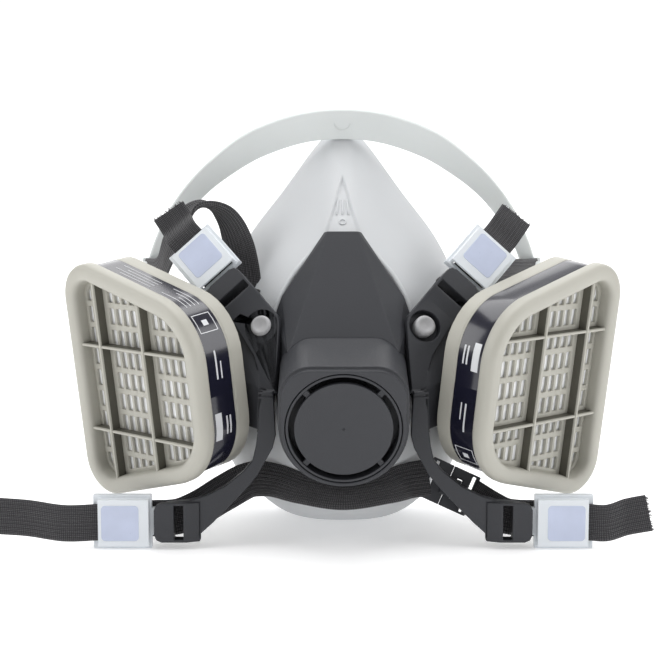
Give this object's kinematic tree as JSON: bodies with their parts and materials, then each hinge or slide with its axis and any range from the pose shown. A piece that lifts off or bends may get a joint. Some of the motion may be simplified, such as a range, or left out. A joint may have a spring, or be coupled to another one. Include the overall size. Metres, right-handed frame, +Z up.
{
  "type": "half-face respirator",
  "caption": "Half-face respirator with a soft face seal, twist-on filter cartridges, a valve guard, strap buckles and a head cradle.",
  "frame": {"origin": "On the surface it rests on, midway between the two cartridge ports and 38 mm in front of the middle of the flat chin patch.", "axes": "+X runs to the viewer's right across the cartridges and strap tails, +Y runs from the valve guard back towards the wearer's face, +Z is up."},
  "size_m": [0.2676, 0.1618, 0.1769],
  "materials": {
    "dark_plastic": "fine satin texture",
    "soft_elastomer": "soft matte",
    "cradle_plastic": "smooth satin",
    "peg_plastic": "smooth",
    "gasket_rubber": "soft",
    "flap_rubber": "thin and soft",
    "flap_dark_rubber": "thin and soft",
    "cartridge_plastic": "satin",
    "label_film": "glossy film",
    "carbon_granules": "granular",
    "white_scrim": "thin non-woven",
    "clear_buckle_plastic": "translucent, smooth",
    "webbing": "ribbed elastic weave"
  },
  "bodies": {
    "facepiece": {"face_seal": "soft_elastomer", "front_body": "dark_plastic", "valve_housing": "dark_plastic", "yoke_left": "dark_plastic", "yoke_right": "dark_plastic", "yoke_peg_left": "peg_plastic", "yoke_peg_right": "peg_plastic", "inhalation_port_left": "dark_plastic", "inhalation_port_right": "dark_plastic", "port_gasket_left": "gasket_rubber", "port_gasket_right": "gasket_rubber", "exhalation_seat": "dark_plastic", "upper_strap_left": "webbing", "upper_strap_right": "webbing", "neck_strap_left": "webbing", "neck_strap_right": "webbing", "neck_clasp_hook": "dark_plastic", "neck_clasp_loop": "dark_plastic", "head_cradle": "cradle_plastic"},
    "cartridge_left": {"cartridge_left_back_shell": "cartridge_plastic", "cartridge_left_front_shell": "cartridge_plastic", "cartridge_left_label_band": "label_film", "cartridge_left_carbon_bed": "carbon_granules", "cartridge_left_scrim_front": "white_scrim", "cartridge_left_scrim_back": "white_scrim"},
    "cartridge_right": {"cartridge_right_back_shell": "cartridge_plastic", "cartridge_right_front_shell": "cartridge_plastic", "cartridge_right_label_band": "label_film", "cartridge_right_carbon_bed": "carbon_granules", "cartridge_right_scrim_front": "white_scrim", "cartridge_right_scrim_back": "white_scrim"},
    "inhalation_valve_left": {"inhalation_valve_left": "flap_rubber"},
    "inhalation_valve_right": {"inhalation_valve_right": "flap_rubber"},
    "exhalation_valve": {"exhalation_valve": "flap_dark_rubber"},
    "valve_guard": {"valve_guard": "dark_plastic"},
    "buckle_upper_left": {"buckle_upper_left": "clear_buckle_plastic", "tail_upper_left": "webbing"},
    "buckle_upper_right": {"buckle_upper_right": "clear_buckle_plastic", "tail_upper_right": "webbing"},
    "buckle_lower_left": {"buckle_lower_left": "clear_buckle_plastic", "tail_lower_left": "webbing"},
    "buckle_lower_right": {"buckle_lower_right": "clear_buckle_plastic", "tail_lower_right": "webbing"}
  },
  "joints": [
    {"name": "cartridge_left_twist", "type": "hinge", "parent": "facepiece", "child": "cartridge_left", "pos_m": [-0.062, 0.013, 0.068], "axis": [-0.6879, -0.7123, -0.1392], "range_deg": [0, 30]},
    {"name": "cartridge_right_twist", "type": "hinge", "parent": "facepiece", "child": "cartridge_right", "pos_m": [0.062, 0.013, 0.068], "axis": [0.6879, -0.7123, -0.1392], "range_deg": [0, 30]},
    {"name": "inhalation_valve_left_lift", "type": "slide", "parent": "facepiece", "child": "inhalation_valve_left", "axis": [0.6879, 0.7123, 0.1392], "range_m": [0, 0.0012], "stiffness_N_per_m": 15, "springref_m": -0.0008},
    {"name": "inhalation_valve_right_lift", "type": "slide", "parent": "facepiece", "child": "inhalation_valve_right", "axis": [-0.6879, 0.7123, 0.1392], "range_m": [0, 0.0012], "stiffness_N_per_m": 15, "springref_m": -0.0008},
    {"name": "exhalation_valve_lift", "type": "slide", "parent": "facepiece", "child": "exhalation_valve", "axis": [0, -0.9744, -0.225], "range_m": [0, 0.0015], "stiffness_N_per_m": 20, "springref_m": -0.001},
    {"name": "valve_guard_pull", "type": "slide", "parent": "facepiece", "child": "valve_guard", "axis": [0, -0.9744, -0.225], "range_m": [0, 0.012]},
    {"name": "buckle_upper_left_swing", "type": "hinge", "parent": "facepiece", "child": "buckle_upper_left", "pos_m": [-0.04768, 0.00852, 0.10311], "axis": [0.7443, 0.0651, 0.6647], "range_deg": [-5, 14]},
    {"name": "buckle_upper_right_swing", "type": "hinge", "parent": "facepiece", "child": "buckle_upper_right", "pos_m": [0.04768, 0.00852, 0.10311], "axis": [0.7443, -0.0651, -0.6647], "range_deg": [-5, 14]},
    {"name": "buckle_lower_left_swing", "type": "hinge", "parent": "facepiece", "child": "buckle_lower_left", "pos_m": [-0.0725, -0.02, 0.011], "axis": [0, 0, 1], "range_deg": [-12, 12]},
    {"name": "buckle_lower_right_swing", "type": "hinge", "parent": "facepiece", "child": "buckle_lower_right", "pos_m": [0.0725, -0.02, 0.011], "axis": [0, 0, -1], "range_deg": [-12, 12]}
  ]
}
